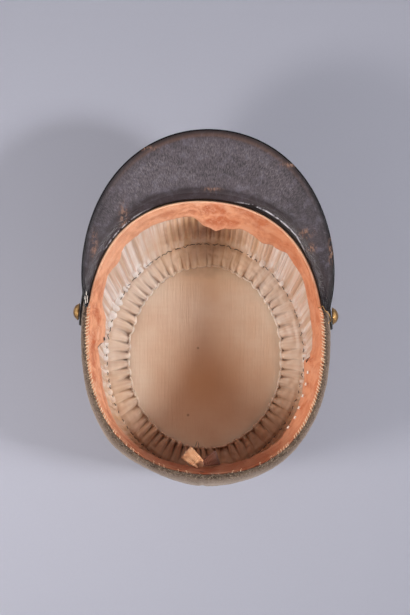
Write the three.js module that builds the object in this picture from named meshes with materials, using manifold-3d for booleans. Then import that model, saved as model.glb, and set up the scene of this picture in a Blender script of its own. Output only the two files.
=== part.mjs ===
import * as THREE from "three";
import { mergeVertices } from "three/addons/utils/BufferGeometryUtils.js";
import Module from "manifold-3d";

// A kepi lying upside down on its flat crown.
// Millimetres, +Z up, the peak towards +Y. The origin is the middle of the crown's flat face.
// Angles round the cap run from the front, +Y, towards +X.

// Crown, the flat end that the cap lies on
const crownHalfWidth = 81;
const crownHalfLength = 92.3;
const crownThickness = 3;
const crownCornerInset = 3.2;

// Rim: the line where the sweatband's edge is sewn to the wool
const rimHalfWidth = 84.1;
const rimHalfLength = 96.6;
const rimCentreX = -0.2;
const rimCentreY = 18.1;
const rimSquareness = 0.042;
const rimSkew = -0.013;
const rimFrontHeight = 78;
const rimBackHeight = 112;

// Thicknesses, and the clearance left between pieces that touch
const clearance = 0.3;
const wallThickness = 3;
const liningThickness = 1;
const sweatbandThickness = 1.5;
const tipLiningThickness = 1;

// Pleats and gathers
const pleatCount = 112;
const pleatDepth = 0.7;
const liningTopBelowRim = 16;
const gatherCount = 60;
const ruffleWidth = 18.4;
const ruffleThickness = 1;

// Peak
const peakCentreX = 0.9;
const peakCentreY = 69.1;
const peakHalfWidth = 89.8;
const peakHalfLength = 93.4;
const peakSquareness = 0.024;
const peakTaper = 0.022;
const peakCornerAngle = 78.7;
const peakOutlineCornerAngle = 110;
const peakThickness = 2.4;
const peakRise = 12.5;
const peakBendHeight = 3;
const peakBendLength = 3.5;

// Sweatband
const sweatbandHeight = 31;
const sweatbandFrontHeight = 27;
const sweatbandStandUp = 0.4;

// Chin strap and its buttons
const strapWidth = 10;
const strapThickness = 1.5;
const strapBelowRim = 12.5;
const buttonAngle = 80.6;
const buttonRadius = 6.2;
const strapEndAngle = 85.6;
const strapEndRoundAngle = 82.8;

// Ribbon bow
const ribbonWidth = 10.6;
const ribbonKnotRadius = 2.6;
const ribbonKnotX = -2;
const ribbonKnotHeight = 92;

// Where the sweatband's face stands inside the rim line at the back
const sweatbandBackInset = 1.6;

// How far the wool bulges past a straight wall just below the rim
const wallBulge = [
  { angle: 0, bulge: 2 },
  { angle: 45, bulge: 3.5 },
  { angle: 80, bulge: 3.2 },
  { angle: 100, bulge: 2.9 },
  { angle: 125, bulge: 3 },
  { angle: 150, bulge: 4 },
  { angle: 180, bulge: 5.5 },
  { angle: 205, bulge: 3 },
  { angle: 225, bulge: 4.5 },
  { angle: 240, bulge: 3.5 },
  { angle: 265, bulge: 2 },
  { angle: 315, bulge: 3.5 },
];

// The share of that bulge that each height of the wall has
const wallProfile = [
  { height: 0, share: 0 },
  { height: 0.28, share: 0.4 },
  { height: 0.6, share: 0.8 },
  { height: 0.88, share: 1 },
  { height: 0.96, share: 0.62 },
  { height: 1, share: 0 },
];

// How far the sweatband's free edge stands inside the rim line: its folds, and a step on each side
const sweatbandEdge = [
  { angle: 0, inset: 17.5 },
  { angle: 6, inset: 20 },
  { angle: 12, inset: 17.2 },
  { angle: 22, inset: 14.4 },
  { angle: 34, inset: 16 },
  { angle: 42, inset: 12.8 },
  { angle: 50, inset: 9.2 },
  { angle: 62, inset: 8.2 },
  { angle: 80, inset: 8.4 },
  { angle: 95, inset: 7.4 },
  { angle: 99, inset: 7.6 },
  { angle: 102, inset: 11.6 },
  { angle: 113, inset: 8.8 },
  { angle: 125, inset: 6.8 },
  { angle: 145, inset: 3.8 },
  { angle: 168, inset: 3.8 },
  { angle: 180, inset: sweatbandBackInset },
  { angle: 225, inset: sweatbandBackInset },
  { angle: 242, inset: 4.6 },
  { angle: 252, inset: 6 },
  { angle: 263, inset: 6.2 },
  { angle: 267, inset: 11.4 },
  { angle: 276, inset: 11.6 },
  { angle: 286, inset: 9 },
  { angle: 296, inset: 8.8 },
  { angle: 305, inset: 12.6 },
  { angle: 312, inset: 10.4 },
  { angle: 330, inset: 11.2 },
  { angle: 350, inset: 11.8 },
];

const crown = {
  x: 0,
  y: 0,
  halfWidth: crownHalfWidth,
  halfLength: crownHalfLength,
  squareness: 0,
  skew: 0,
  taper: 0,
};

const rim = {
  x: rimCentreX,
  y: rimCentreY,
  halfWidth: rimHalfWidth,
  halfLength: rimHalfLength,
  squareness: rimSquareness,
  skew: rimSkew,
  taper: 0,
};

const peakOutline = {
  x: peakCentreX,
  y: peakCentreY,
  halfWidth: peakHalfWidth,
  halfLength: peakHalfLength,
  squareness: peakSquareness,
  skew: 0,
  taper: peakTaper,
};

const fullTurn = 360;
const toRadians = THREE.MathUtils.degToRad;
const lerp = THREE.MathUtils.lerp;

// A point of an oval outline that is grown or shrunk all round
function onOutline(shape, angle, grow = 0) {
  const turn = toRadians(angle);
  const scale = 1
    + shape.squareness * Math.sin(2 * turn) ** 2
    + shape.skew * Math.sin(2 * turn)
    + shape.taper * Math.cos(3 * turn);
  return {
    x: shape.x + (shape.halfWidth + grow) * Math.sin(turn) * scale,
    y: shape.y + (shape.halfLength + grow) * Math.cos(turn) * scale,
  };
}

function blendShapes(low, high, share) {
  const shape = {};
  for (const key of Object.keys(low)) {
    shape[key] = lerp(low[key], high[key], share);
  }
  return shape;
}

function smooth(share) {
  const held = THREE.MathUtils.clamp(share, 0, 1);
  return held * held * (3 - 2 * held);
}

// A value read off a table whose rows go once round the cap
function around(table, column, angle) {
  const turn = ((angle % fullTurn) + fullTurn) % fullTurn;
  let next = table.findIndex((row) => row.angle > turn);
  next = next === -1 ? table.length : next;
  const before = table[(next - 1 + table.length) % table.length];
  const after = table[next % table.length];
  const span = (after.angle - before.angle + fullTurn) % fullTurn;
  const passed = (turn - before.angle + fullTurn) % fullTurn;
  return lerp(before[column], after[column], smooth(passed / span));
}

function alongProfile(height) {
  const next = Math.max(1, wallProfile.findIndex((row) => row.height >= height));
  const before = wallProfile[next - 1];
  const after = wallProfile[next];
  const share = (height - before.height) / (after.height - before.height);
  return lerp(before.share, after.share, share);
}

// The rim is a plane that rises from the front to the back
function rimHeight(angle) {
  const y = onOutline(rim, angle).y;
  const front = rimCentreY + rimHalfLength;
  const share = (front - y) / (2 * rimHalfLength);
  return lerp(rimFrontHeight, rimBackHeight, share);
}

// The wool stops short of the rim plane in front, where the peak lies on it
function wallTop(angle) {
  const fromFront = Math.abs(((angle + 180) % fullTurn) - 180);
  const lifted = smooth((fromFront - peakCornerAngle - 1.5) / 3);
  return rimHeight(angle) - (peakThickness + clearance) * (1 - lifted);
}

const wallFoot = crownThickness + clearance;

// A point on the wall's outer face at a share of its height, moved inwards by an inset
function onWall(angle, share, inset = 0) {
  const shape = blendShapes(crown, rim, share);
  const proud = (wallThickness + clearance) * share;
  const bulge = around(wallBulge, "bulge", angle) * alongProfile(share);
  const point = onOutline(shape, angle, proud + bulge - inset);
  return [point.x, point.y, lerp(wallFoot, wallTop(angle), share)];
}

function onWallAtHeight(angle, z, inset = 0) {
  const share = (z - wallFoot) / (wallTop(angle) - wallFoot);
  const point = onWall(angle, share, inset);
  return [point[0], point[1], z];
}

// A closed surface from sections, each a loop of the same number of points.
// A ring joins its last section to its first; a strip gets a cap at each end.
function loft(sections, ring) {
  const loop = sections[0].length;
  const positions = sections.flat(2);
  const triangles = [];
  const bands = ring ? sections.length : sections.length - 1;
  for (let band = 0; band < bands; band += 1) {
    const next = (band + 1) % sections.length;
    for (let step = 0; step < loop; step += 1) {
      const a = band * loop + step;
      const b = band * loop + ((step + 1) % loop);
      const c = next * loop + ((step + 1) % loop);
      const d = next * loop + step;
      triangles.push(a, b, c, a, c, d);
    }
  }
  if (!ring) {
    const last = (sections.length - 1) * loop;
    for (let low = 0, high = loop - 1; high - low > 1; low += 1, high -= 1) {
      triangles.push(low, high, low + 1, low + 1, high, high - 1);
      triangles.push(last + low, last + low + 1, last + high);
      triangles.push(last + low + 1, last + high - 1, last + high);
    }
  }
  return facingOut(positions, triangles.filter((_, index) => keeps(triangles, index)));
}

// Drops a triangle whose corners repeat, as the middle of an odd cap has
function keeps(triangles, index) {
  const first = index - (index % 3);
  const [a, b, c] = triangles.slice(first, first + 3);
  return a !== b && b !== c && c !== a;
}

function facingOut(positions, triangles) {
  const corner = (index) => new THREE.Vector3().fromArray(positions, 3 * index);
  let volume = 0;
  for (let index = 0; index < triangles.length; index += 3) {
    const [a, b, c] = triangles.slice(index, index + 3).map(corner);
    volume += a.dot(b.cross(c));
  }
  const order = volume > 0 ? triangles : triangles.toReversed();
  const geometry = new THREE.BufferGeometry();
  geometry.setAttribute("position", new THREE.Float32BufferAttribute(positions, 3));
  geometry.setIndex(order);
  return geometry;
}

function anglesRound(count) {
  return Array.from({ length: count }, (_, index) => (fullTurn * index) / count);
}

function anglesBetween(from, to, count) {
  return Array.from({ length: count }, (_, index) => lerp(from, to, index / (count - 1)));
}

// A disc whose edge follows the crown, from rows of an inset and a height, first row at the bottom
function crownDisc(rows, columns) {
  const angles = anglesRound(columns);
  const positions = [0, 0, rows[0].z, 0, 0, rows[rows.length - 1].z];
  for (const row of rows) {
    for (const angle of angles) {
      const point = onOutline(crown, angle, -row.inset);
      positions.push(point.x, point.y, row.z);
    }
  }
  const bottomMiddle = 0;
  const topMiddle = 1;
  const corner = (row, column) => 2 + row * columns + (column % columns);
  const triangles = [];
  for (let column = 0; column < columns; column += 1) {
    const last = rows.length - 1;
    triangles.push(bottomMiddle, corner(0, column), corner(0, column + 1));
    triangles.push(topMiddle, corner(last, column + 1), corner(last, column));
    for (let row = 0; row < last; row += 1) {
      const [a, b] = [corner(row, column), corner(row, column + 1)];
      const [c, d] = [corner(row + 1, column + 1), corner(row + 1, column)];
      triangles.push(a, d, c, a, c, b);
    }
  }
  return facingOut(positions, triangles);
}

// Pieces

function crownTop() {
  const rows = [
    { inset: crownCornerInset, z: 0 },
    { inset: 0.9, z: 0.9 },
    { inset: 0, z: crownThickness },
  ];
  return crownDisc(rows, 72);
}

function tipLining() {
  const inset = wallThickness + 2 * clearance;
  const bottom = crownThickness + clearance;
  return crownDisc([{ inset, z: bottom }, { inset, z: bottom + tipLiningThickness }], 72);
}

function sideWall() {
  const heights = wallProfile.map((row) => row.height);
  const sections = anglesRound(80).map((angle) => [
    ...heights.map((share) => onWall(angle, share)),
    ...heights.toReversed().map((share) => onWall(angle, share, wallThickness)),
  ]);
  return loft(sections, true);
}

// Ridges and valleys of the silk alternate; the seam at each end stays even
function sideLining() {
  const foot = wallFoot + tipLiningThickness + clearance;
  const outerInset = wallThickness + clearance;
  const sections = anglesRound(2 * pleatCount).map((angle, index) => {
    const depth = liningThickness + (index % 2) * pleatDepth;
    const top = rimHeight(angle) - liningTopBelowRim;
    return [
      onWallAtHeight(angle, foot, outerInset),
      onWallAtHeight(angle, top, outerInset),
      onWallAtHeight(angle, top, outerInset + depth),
      onWallAtHeight(angle, foot, outerInset + depth),
    ];
  });
  return loft(sections, true);
}

// Each gather is a ridge and a valley that deepen towards the drawn inner edge
function ruffle() {
  const foot = wallFoot + tipLiningThickness + clearance;
  const outerInset = wallThickness + 2 * clearance + liningThickness + pleatDepth + 0.4;
  const rows = [
    { across: 0, crest: 1.4, fold: 0.2 },
    { across: 0.2, crest: 3.4, fold: 0.7 },
    { across: 0.6, crest: 3.9, fold: 1.2 },
    { across: 0.94, crest: 3.2, fold: 1.3 },
    { across: 1, crest: 2, fold: 0.6 },
  ];
  const underside = [rows[4], rows[2], rows[0]];
  const sections = anglesRound(2 * gatherCount).map((angle, index) => {
    const side = index % 2 === 0 ? 1 : -1;
    const row = (entry, drop) => {
      const point = onOutline(crown, angle, -outerInset - ruffleWidth * entry.across);
      return [point.x, point.y, foot + entry.crest + side * entry.fold - drop];
    };
    return [
      ...rows.map((entry) => row(entry, 0)),
      ...underside.map((entry) => row(entry, ruffleThickness)),
    ];
  });
  return loft(sections, true);
}

// Leather band, rolled at the rim and hanging loose inside the cap
function sweatband() {
  const sections = anglesRound(120).map((angle) => {
    const edge = around(sweatbandEdge, "inset", angle);
    const front = smooth((Math.cos(toRadians(angle)) - 0.2) / 0.5);
    const height = lerp(sweatbandHeight, sweatbandFrontHeight, front);
    const roll = Math.min(3, sweatbandThickness + 0.12 * edge);
    const top = rimHeight(angle) + sweatbandStandUp;
    const at = (inset, drop) => {
      const point = onOutline(rim, angle, -inset);
      return [point.x, point.y, top - drop];
    };
    const middle = lerp(roll, edge, 0.52);
    const hidden = sweatbandThickness;
    return [
      at(0, 0.9),
      at(roll * 0.5, 0),
      at(roll, 1.6),
      at(middle, height * 0.55),
      at(edge, height),
      at(edge - hidden, height),
      at(middle - hidden, height * 0.55),
      at(Math.max(roll - hidden, 0), 3),
    ];
  });
  return loft(sections, true);
}

// Leather sheet that bends up from the rim and then runs out and gently upwards
function peak() {
  const rows = [0, 0.05, 0.12, 0.3, 0.62, 0.97];
  const deepest = peakCentreY + peakHalfLength - rimCentreY - rimHalfLength;
  const sections = anglesBetween(-peakCornerAngle, peakCornerAngle, 49).map((angle) => {
    const inner = onOutline(rim, angle, clearance);
    const outer = onOutline(peakOutline, (angle * peakOutlineCornerAngle) / peakCornerAngle);
    const depth = Math.hypot(outer.x - inner.x, outer.y - inner.y);
    const base = rimHeight(angle);
    const at = (across, drop) => {
      const bend = Math.min(1, depth / 20) * peakBendHeight;
      const lift = bend * (1 - Math.exp((-across * depth) / peakBendLength));
      const rise = (peakRise * depth * across) / deepest;
      return [
        lerp(inner.x, outer.x, across),
        lerp(inner.y, outer.y, across),
        base + lift + rise - drop,
      ];
    };
    return [
      ...rows.map((across) => at(across, 0)),
      at(1, peakThickness * 0.5),
      ...rows.toReversed().map((across) => at(across, peakThickness)),
    ];
  });
  return loft(sections, false);
}

// Strap across the front, flat against the wool from one button to the other, with round ends
function chinStrap() {
  const sections = anglesBetween(-strapEndAngle, strapEndAngle, 47).map((angle) => {
    const past = (Math.abs(angle) - strapEndRoundAngle) / (strapEndAngle - strapEndRoundAngle);
    const round = Math.sqrt(1 - 0.84 * THREE.MathUtils.clamp(past, 0, 1) ** 2);
    const middle = rimHeight(angle) - strapBelowRim;
    const half = (strapWidth / 2) * round;
    const heights = [middle - half, middle, middle + half];
    return [
      ...heights.map((z) => onWallAtHeight(angle, z, -clearance)),
      ...heights.toReversed().map((z) => onWallAtHeight(angle, z, -clearance - strapThickness)),
    ];
  });
  return loft(sections, false);
}

// Domed button with a thin rolled edge
function sideButton() {
  const profile = [
    [0, 0],
    [buttonRadius - 0.7, 0],
    [buttonRadius, 0.6],
    [buttonRadius - 0.3, 1.3],
    [buttonRadius - 1.3, 2.7],
    [buttonRadius - 3.3, 3.8],
    [0, 4.3],
  ];
  return new THREE.LatheGeometry(profile.map(([radius, height]) => new THREE.Vector2(radius, height)), 20);
}

// The knot rests against the sweatband's face at the back
const ribbonKnotCentre = new THREE.Vector3(
  ribbonKnotX,
  rimCentreY - rimHalfLength + sweatbandBackInset + 2 * clearance + ribbonKnotRadius,
  ribbonKnotHeight,
);

// One loop of the bow: it widens from the knot to a rounded fold as wide as the ribbon
function bowLoop(direction) {
  const out = direction.clone().normalize();
  const upwards = new THREE.Vector3(0, 0, 1);
  const across = new THREE.Vector3().crossVectors(upwards, out).normalize();
  const normal = new THREE.Vector3().crossVectors(out, across);
  const rows = [
    { along: 0.3, width: 2.4, thickness: 2 },
    { along: 6, width: 6, thickness: 3.4 },
    { along: 11.5, width: ribbonWidth * 0.94, thickness: 3.6 },
    { along: 14, width: ribbonWidth, thickness: 2.4 },
    { along: 14.8, width: ribbonWidth * 0.98, thickness: 0.8 },
  ];
  const corners = [[-1, -1], [-1, 1], [1, 1], [1, -1]];
  const sections = rows.map((row) => corners.map(([side, face]) => ribbonKnotCentre.clone()
    .addScaledVector(out, row.along)
    .addScaledVector(across, (side * row.width) / 2)
    .addScaledVector(normal, (face * row.thickness) / 2)
    .toArray()));
  return loft(sections, false);
}

const wasm = await Module();
wasm.setup();

function toSolid(geometry) {
  const bare = geometry.clone();
  bare.deleteAttribute("normal");
  bare.deleteAttribute("uv");
  const merged = mergeVertices(bare);
  return new wasm.Manifold(new wasm.Mesh({
    numProp: 3,
    vertProperties: new Float32Array(merged.getAttribute("position").array),
    triVerts: new Uint32Array(merged.getIndex().array),
  }));
}

function toGeometry(solid) {
  const mesh = solid.getMesh();
  const geometry = new THREE.BufferGeometry();
  geometry.setAttribute("position", new THREE.Float32BufferAttribute(mesh.vertProperties, 3));
  geometry.setIndex(Array.from(mesh.triVerts));
  return geometry;
}

// Two loops and the knot that holds them, as one length of ribbon
function ribbonBow() {
  const knot = new THREE.SphereGeometry(ribbonKnotRadius, 10, 6);
  knot.translate(ribbonKnotCentre.x, ribbonKnotCentre.y, ribbonKnotCentre.z);
  const left = bowLoop(new THREE.Vector3(-11.2, 9.2, 1.5));
  const right = bowLoop(new THREE.Vector3(8.4, 10, 0));
  const tied = toSolid(knot).add(toSolid(left)).add(toSolid(right));
  return toGeometry(tied);
}

const finishes = {
  wool: { color: 0x786c5c, roughness: 0.95, metalness: 0 },
  peakLeather: { color: 0x4e464b, roughness: 0.5, metalness: 0 },
  bandLeather: { color: 0xd98c64, roughness: 0.6, metalness: 0 },
  strapLeather: { color: 0x2a2724, roughness: 0.4, metalness: 0 },
  pleatedSilk: { color: 0xcdb9a5, roughness: 0.5, metalness: 0 },
  gatheredSilk: { color: 0xc8aa87, roughness: 0.5, metalness: 0 },
  flatSilk: { color: 0xb08a6c, roughness: 0.45, metalness: 0 },
  brass: { color: 0xc8a05a, roughness: 0.3, metalness: 1 },
  ribbon: { color: 0xd9a37f, roughness: 0.7, metalness: 0 },
};

function named(name, geometry, finish) {
  const mesh = new THREE.Mesh(geometry, new THREE.MeshStandardMaterial(finishes[finish]));
  mesh.name = name;
  return mesh;
}

// A button stands on the strap, its axis square to the wool
function placedButton(name, angle) {
  const middle = rimHeight(angle) - strapBelowRim;
  const reach = clearance + strapThickness + clearance + 0.15;
  const foot = new THREE.Vector3(...onWallAtHeight(angle, middle, -reach));
  const above = new THREE.Vector3(...onWallAtHeight(angle, middle + 4, -reach));
  const beside = new THREE.Vector3(...onWallAtHeight(angle + 2, middle, -reach));
  const axis = new THREE.Vector3().crossVectors(above.sub(foot), beside.sub(foot)).normalize();
  if (axis.x * foot.x < 0) {
    axis.negate();
  }
  const button = named(name, sideButton(), "brass");
  button.position.copy(foot);
  button.quaternion.setFromUnitVectors(new THREE.Vector3(0, 1, 0), axis);
  return button;
}

const kepi = new THREE.Group();
kepi.add(
  named("crown_top", crownTop(), "wool"),
  named("side_wall", sideWall(), "wool"),
  named("tip_lining", tipLining(), "flatSilk"),
  named("side_lining", sideLining(), "pleatedSilk"),
  named("ruffle", ruffle(), "gatheredSilk"),
  named("sweatband", sweatband(), "bandLeather"),
  named("peak", peak(), "peakLeather"),
  named("chin_strap", chinStrap(), "strapLeather"),
  placedButton("side_button_left", -buttonAngle),
  placedButton("side_button_right", buttonAngle),
  named("ribbon_bow", ribbonBow(), "ribbon"),
);

export default kepi;
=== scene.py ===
import contextlib
import math
import random

import bmesh
import bpy
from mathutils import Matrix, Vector, noise


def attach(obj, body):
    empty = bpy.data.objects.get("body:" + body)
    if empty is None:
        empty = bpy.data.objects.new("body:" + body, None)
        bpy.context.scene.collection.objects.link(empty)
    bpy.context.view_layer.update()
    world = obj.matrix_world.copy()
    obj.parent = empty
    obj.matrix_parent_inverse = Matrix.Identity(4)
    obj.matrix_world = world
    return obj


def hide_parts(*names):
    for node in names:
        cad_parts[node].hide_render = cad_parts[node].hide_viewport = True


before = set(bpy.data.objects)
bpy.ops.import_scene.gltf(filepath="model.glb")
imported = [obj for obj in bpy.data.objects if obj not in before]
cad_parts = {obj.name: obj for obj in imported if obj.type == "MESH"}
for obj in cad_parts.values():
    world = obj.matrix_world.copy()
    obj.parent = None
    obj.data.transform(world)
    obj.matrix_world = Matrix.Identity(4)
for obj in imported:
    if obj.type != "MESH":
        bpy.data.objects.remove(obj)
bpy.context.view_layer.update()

# A kepi lying upside down on its crown. Metres, +Z up, the peak towards +Y.
# Angles round the cap run from the front, +Y, towards +X, in degrees.

FULL_TURN = 360.0

# Sizes that the frame's solids were made from
CROWN_HALF_WIDTH = 0.081
CROWN_HALF_LENGTH = 0.0923
CROWN_THICKNESS = 0.003
RIM_HALF_WIDTH = 0.0841
RIM_HALF_LENGTH = 0.0966
RIM_CENTRE_X = -0.0002
RIM_CENTRE_Y = 0.0181
RIM_FRONT_HEIGHT = 0.078
RIM_BACK_HEIGHT = 0.112
WALL_THICKNESS = 0.003
CLEARANCE = 0.0003
TIP_THICKNESS = 0.001
LINING_TOP_BELOW_RIM = 0.016
PEAK_CORNER_ANGLE = 78.7
PEAK_OUTLINE_CORNER_ANGLE = 110.0
PEAK_THICKNESS = 0.0024
PEAK_RISE = 0.0125
PEAK_BEND_HEIGHT = 0.003
PEAK_BEND_LENGTH = 0.0035
SWEATBAND_HEIGHT = 0.031
SWEATBAND_FRONT_HEIGHT = 0.027
STRAP_WIDTH = 0.010
STRAP_THICKNESS = 0.0015
STRAP_BELOW_RIM = 0.0125
STRAP_END_ANGLE = 85.6
STRAP_END_ROUND_ANGLE = 82.8
BUTTON_ANGLE = 80.6
BUTTON_RADIUS = 0.0062
RIBBON_WIDTH = 0.0106
RIBBON_KNOT = Vector((-0.002, -0.0737, 0.092))

CROWN_LEVEL = CROWN_THICKNESS + CLEARANCE
LINING_FOOT = CROWN_LEVEL + TIP_THICKNESS + CLEARANCE

# Outlines: centre x and y, half width, half length, squareness, skew, taper
CROWN = (0.0, 0.0, CROWN_HALF_WIDTH, CROWN_HALF_LENGTH, 0.0, 0.0, 0.0)
RIM = (RIM_CENTRE_X, RIM_CENTRE_Y, RIM_HALF_WIDTH, RIM_HALF_LENGTH, 0.042, -0.013, 0.0)
PEAK = (0.0009, 0.0691, 0.0898, 0.0934, 0.024, 0.0, 0.022)

# Angle, and how far the wool bulges past a straight wall just below the rim
WALL_BULGE = (
    (0, 0.0020),
    (45, 0.0035),
    (80, 0.0032),
    (100, 0.0029),
    (125, 0.0030),
    (150, 0.0040),
    (180, 0.0055),
    (205, 0.0030),
    (225, 0.0045),
    (240, 0.0035),
    (265, 0.0020),
    (315, 0.0035),
)

# Share of the wall's height, and the share of the bulge there
WALL_PROFILE = ((0.0, 0.0), (0.28, 0.4), (0.6, 0.8), (0.88, 1.0), (0.96, 0.62), (1.0, 0.0))

# Angle, and how far the sweatband's free edge stands inside the rim line
SWEATBAND_EDGE = (
    (0, 0.0175),
    (6, 0.0200),
    (12, 0.0172),
    (22, 0.0144),
    (34, 0.0160),
    (42, 0.0122),
    (50, 0.0080),
    (62, 0.0066),
    (80, 0.0068),
    (95, 0.0064),
    (99, 0.0076),
    (102, 0.0116),
    (113, 0.0088),
    (125, 0.0068),
    (145, 0.0038),
    (168, 0.0038),
    (180, 0.0016),
    (225, 0.0016),
    (242, 0.0046),
    (252, 0.0060),
    (263, 0.0062),
    (267, 0.0114),
    (276, 0.0116),
    (286, 0.0078),
    (296, 0.0070),
    (305, 0.0098),
    (312, 0.0076),
    (330, 0.0092),
    (350, 0.0104),
)


def lerp(low, high, share):
    """A number or a point on the way from low to high."""
    return low + (high - low) * share


def smooth(share):
    """A share held between 0 and 1, with a soft start and end."""
    held = min(max(share, 0.0), 1.0)
    return held * held * (3.0 - 2.0 * held)


def around(table, angle):
    """The value at an angle of a table of (angle, value) rows that goes once round the cap."""
    turn = angle % FULL_TURN
    after = next((index for index, row in enumerate(table) if row[0] > turn), len(table))
    low, high = table[after - 1], table[after % len(table)]
    span = (high[0] - low[0]) % FULL_TURN
    return lerp(low[1], high[1], smooth(((turn - low[0]) % FULL_TURN) / span))


def along(table, position):
    """The value at a position of a table of (position, value) rows."""
    after = next((index for index, row in enumerate(table) if row[0] >= position), len(table) - 1)
    after = max(after, 1)
    low, high = table[after - 1], table[after]
    return lerp(low[1], high[1], (position - low[0]) / (high[0] - low[0]))


def on_outline(shape, angle, grow=0.0):
    """The x and y at an angle of an outline, grown outwards by a length."""
    x, y, half_width, half_length, squareness, skew, taper = shape
    turn = math.radians(angle)
    scale = 1 + squareness * math.sin(2 * turn) ** 2 + skew * math.sin(2 * turn)
    scale += taper * math.cos(3 * turn)
    return (
        x + (half_width + grow) * math.sin(turn) * scale,
        y + (half_length + grow) * math.cos(turn) * scale,
    )


def rim_height(angle):
    """The height of the slanted rim plane at an angle."""
    front = RIM_CENTRE_Y + RIM_HALF_LENGTH
    share = (front - on_outline(RIM, angle)[1]) / (2 * RIM_HALF_LENGTH)
    return lerp(RIM_FRONT_HEIGHT, RIM_BACK_HEIGHT, share)


def from_front(angle):
    """How many degrees an angle is from the front, on either side."""
    return abs((angle + 180.0) % FULL_TURN - 180.0)


def wall_top(angle):
    """The wool stops short of the rim plane in front, where the peak lies on it."""
    lifted = smooth((from_front(angle) - PEAK_CORNER_ANGLE - 1.5) / 3.0)
    return rim_height(angle) - (PEAK_THICKNESS + CLEARANCE) * (1.0 - lifted)


def on_wall(angle, share, inset=0.0):
    """A point inside the wool's outer face by an inset, from the crown at 0 to the rim at 1."""
    shape = [lerp(low, high, share) for low, high in zip(CROWN, RIM)]
    proud = (WALL_THICKNESS + CLEARANCE) * share
    bulge = around(WALL_BULGE, angle) * along(WALL_PROFILE, min(max(share, 0.0), 1.0))
    x, y = on_outline(shape, angle, proud + bulge - inset)
    return Vector((x, y, lerp(CROWN_LEVEL, wall_top(angle), share)))


def wall_at_height(angle, z, inset=0.0):
    """A point inside the wool's outer face by an inset, at a height."""
    share = (z - CROWN_LEVEL) / (wall_top(angle) - CROWN_LEVEL)
    point = on_wall(angle, share, inset)
    return Vector((point.x, point.y, z))


def turns(count):
    """Angles evenly round the cap."""
    return [FULL_TURN * index / count for index in range(count)]


def bell(offset, width):
    """A bump of height 1 at offset 0, with soft flanks."""
    return math.exp(-((offset / width) ** 2))


def ripple(x, y=0.0, z=0.0):
    """Smooth noise between -1 and 1, the same on each run."""
    return noise.noise(Vector((x, y, z)))


def round_ripple(angle, waves, seed=0.0, across=0.0):
    """Smooth noise that meets itself after one turn round the cap, with about that many waves."""
    turn = math.radians(angle)
    reach = waves / (2 * math.pi)
    return ripple(reach * math.sin(turn) + seed, reach * math.cos(turn) - seed, across)


# Meshes

def new_object(name, mesh):
    """Puts a mesh into the scene."""
    piece = bpy.data.objects.new(name, mesh)
    bpy.context.scene.collection.objects.link(piece)
    return piece


def patterned_object(name, vertices, faces, places):
    """A smooth object whose corners know their place on the flat material, in metres, for the patterns."""
    mesh = bpy.data.meshes.new(name)
    mesh.from_pydata([tuple(vertex) for vertex in vertices], [], faces)
    layer = mesh.attributes.new("cloth", "FLOAT_VECTOR", "CORNER")
    layer.data.foreach_set("vector", [value for place in places for value in place])
    mesh.shade_smooth()
    return new_object(name, mesh)


def sheet(name, points, cloth=None, ring=False, loop=False, wear=None):
    """A sheet of quads from rows of points. ring joins the last row to the first, loop the last column.

    cloth gives the place on the flat material from a row and a column, and wear gives how rubbed
    a point of the surface is."""
    rows, columns = len(points), len(points[0])
    vertices = [point for row in points for point in row]
    faces, places = [], []
    for row in range(rows if ring else rows - 1):
        for column in range(columns if loop else columns - 1):
            corners = ((row, column), (row + 1, column), (row + 1, column + 1), (row, column + 1))
            faces.append([(r % rows) * columns + c % columns for r, c in corners])
            places.extend(cloth(r, c) if cloth else (0.0, 0.0, 0.0) for r, c in corners)
    piece = patterned_object(name, vertices, faces, places)
    if wear:
        rubbed = piece.data.attributes.new("wear", "FLOAT", "POINT")
        rubbed.data.foreach_set("value", [wear(Vector(vertex)) for vertex in vertices])
    return piece


def lay_grid(ribbon, steps, columns, point, place):
    """Adds a grid of quads to a ribbon's vertices, faces and places, from two functions of the shares
    of the way along and across it."""
    vertices, faces, places = ribbon
    start = len(vertices)
    for step in range(steps + 1):
        vertices.extend(point(step / steps, column / columns) for column in range(columns + 1))
    for step in range(steps):
        for column in range(columns):
            a = start + step * (columns + 1) + column
            faces.append((a, a + 1, a + columns + 2, a + columns + 1))
            corners = ((step, column), (step, column + 1), (step + 1, column + 1), (step + 1, column))
            places.extend(place(s / steps, c / columns) for s, c in corners)


@contextlib.contextmanager
def editing(piece):
    """Opens a piece's mesh for changes to its points and faces, and puts it back."""
    work = bmesh.new()
    work.from_mesh(piece.data)
    work.verts.ensure_lookup_table()
    yield work
    work.to_mesh(piece.data)
    work.free()
    piece.data.shade_smooth()


def close_middle(piece, ring_indices):
    """Closes a disc's open middle with one face, which gets its place on the flat material."""
    with editing(piece) as work:
        work.faces.new([work.verts[index] for index in ring_indices])
        bmesh.ops.recalc_face_normals(work, faces=work.faces)
    mesh = piece.data
    for corner in mesh.polygons[-1].loop_indices:
        vertex = mesh.vertices[mesh.loops[corner].vertex_index].co
        mesh.attributes["cloth"].data[corner].vector = (vertex.x, vertex.y, 1.0)


def close_ends(piece, rows, columns):
    """Caps both ends of a sheet that is looped into a bar."""
    with editing(piece) as work:
        for row in (0, rows - 1):
            work.faces.new([work.verts[row * columns + column] for column in range(columns)])


def close_dome(piece):
    """Joins the points that fall together on the axis, and closes the hole that is left."""
    with editing(piece) as work:
        bmesh.ops.remove_doubles(work, verts=work.verts, dist=0.000001)
        edges = [edge for edge in work.edges if len(edge.link_faces) == 1]
        bmesh.ops.holes_fill(work, edges=edges, sides=0)


def turn_outwards(piece):
    """Turns all faces of a closed piece outwards."""
    bpy.context.view_layer.objects.active = piece
    bpy.ops.object.mode_set(mode="EDIT")
    bpy.ops.mesh.select_all(action="SELECT")
    bpy.ops.mesh.normals_make_consistent(inside=False)
    bpy.ops.object.mode_set(mode="OBJECT")


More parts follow.
